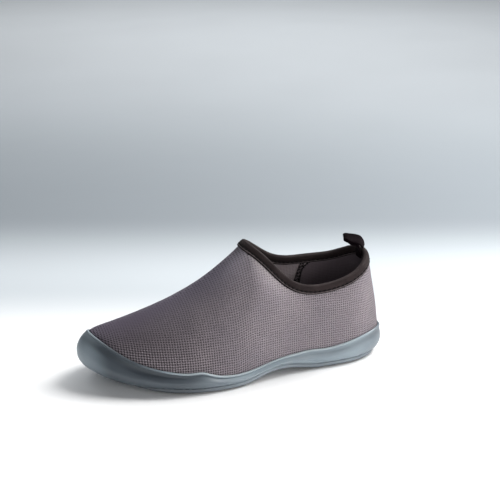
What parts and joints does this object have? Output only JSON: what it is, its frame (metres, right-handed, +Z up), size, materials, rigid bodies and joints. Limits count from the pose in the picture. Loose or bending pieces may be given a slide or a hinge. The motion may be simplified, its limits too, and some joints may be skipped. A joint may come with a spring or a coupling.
{
  "type": "indoor shoe",
  "caption": "Left slip-on indoor shoe with a moulded cup sole raised at the toe, a hollow woven upper, a bound collar and a pull loop at the heel.",
  "frame": {"origin": "on the floor, under the middle of the sole's length and width", "axes": "+X towards the toe, +Y towards the outer (little toe) side, +Z up"},
  "size_m": [0.268, 0.0982, 0.1099],
  "materials": {
    "outsole": "satin",
    "midsole": "satin",
    "insole": "matte",
    "upper": "matte weave",
    "collar_binding": "matte",
    "pull_loop": "matte webbing"
  },
  "bodies": {
    "root": {"outsole": "outsole", "midsole": "midsole", "insole": "insole", "upper": "upper", "collar_binding": "collar_binding", "pull_loop": "pull_loop"}
  },
  "joints": []
}
